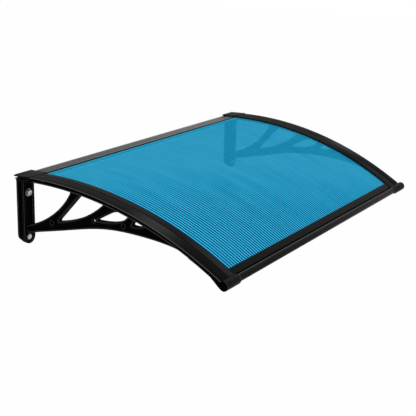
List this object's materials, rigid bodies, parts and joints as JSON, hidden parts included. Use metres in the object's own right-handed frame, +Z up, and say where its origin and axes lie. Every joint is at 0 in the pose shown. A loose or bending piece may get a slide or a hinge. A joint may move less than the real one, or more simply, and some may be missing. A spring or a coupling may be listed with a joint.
{
  "type": "door canopy",
  "caption": "Door canopy: a bowed translucent blue hollow-wall roof sheet between moulded black truss brackets, with metal front and rear rails, bolted flat to a wall.",
  "frame": {"origin": "middle of the rear rail's flat back, on the wall plane and on the mirror plane", "axes": "+Y into the wall, so the canopy reaches out towards -Y; +X to the right for someone facing the wall; +Z up"},
  "size_m": [1.026, 0.5968, 0.175],
  "materials": {
    "roof_sheet": "translucent blue, glossy, with fine stripes from the flutes",
    "bracket": "satin black moulded plastic",
    "cover": "satin black moulded plastic with a fine grain",
    "black_rail": "satin black coating",
    "bare_rail": "drawn metal with fine lengthwise grooves",
    "zinc": "bright zinc plating"
  },
  "bodies": {
    "root": {"roof_sheet": "roof_sheet", "front_rail": "black_rail", "rear_rail": "bare_rail", "bracket_left": "bracket", "bracket_right": "bracket", "cover_left": "cover", "cover_right": "cover", "wall_bolt_left_upper": "zinc", "wall_bolt_left_lower": "zinc", "wall_bolt_right_upper": "zinc", "wall_bolt_right_lower": "zinc", "washer_left_upper": "zinc", "washer_left_lower": "zinc", "washer_right_upper": "zinc", "washer_right_lower": "zinc"}
  },
  "joints": []
}
